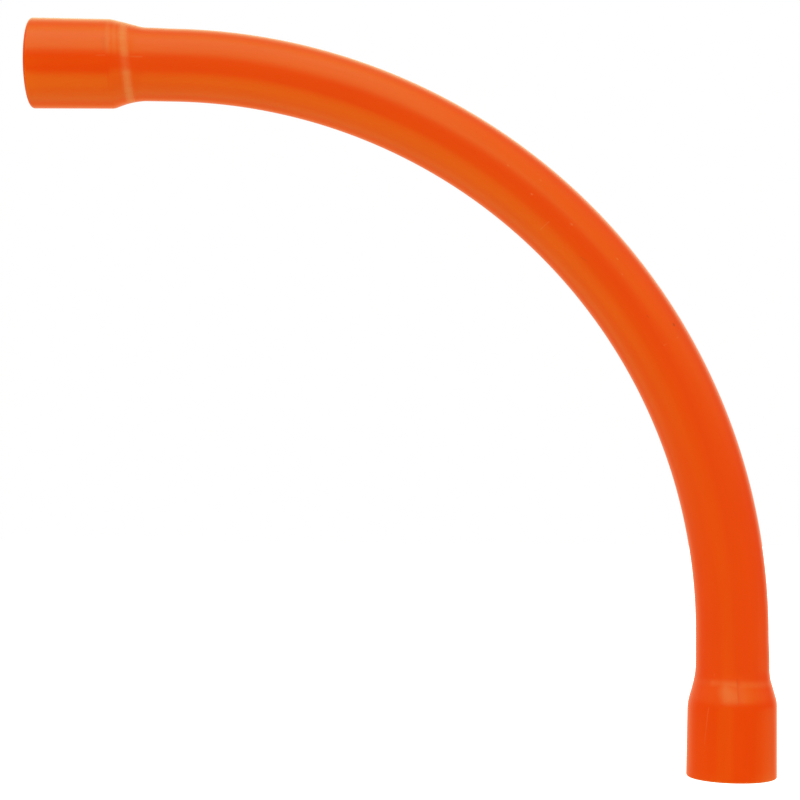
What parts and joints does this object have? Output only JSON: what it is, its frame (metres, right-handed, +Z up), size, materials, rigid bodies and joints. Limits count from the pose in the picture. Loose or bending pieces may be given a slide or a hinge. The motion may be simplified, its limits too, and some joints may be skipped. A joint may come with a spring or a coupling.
{
  "type": "conduit elbow",
  "caption": "Wide 90 degree bend of rigid plastic conduit, with a belled socket at each end that takes the next tube.",
  "frame": {"origin": "centre of the lower socket's mouth", "axes": "+Z runs up the lower leg, the bend turns towards -X so that the upper mouth opens towards -X, and Y is square to the plane of the bend"},
  "size_m": [0.2089, 0.0244, 0.208],
  "materials": {
    "orange_conduit": "satin"
  },
  "bodies": {
    "root": {"lower_socket": "orange_conduit", "sweep_bend": "orange_conduit", "upper_socket": "orange_conduit"}
  },
  "joints": []
}
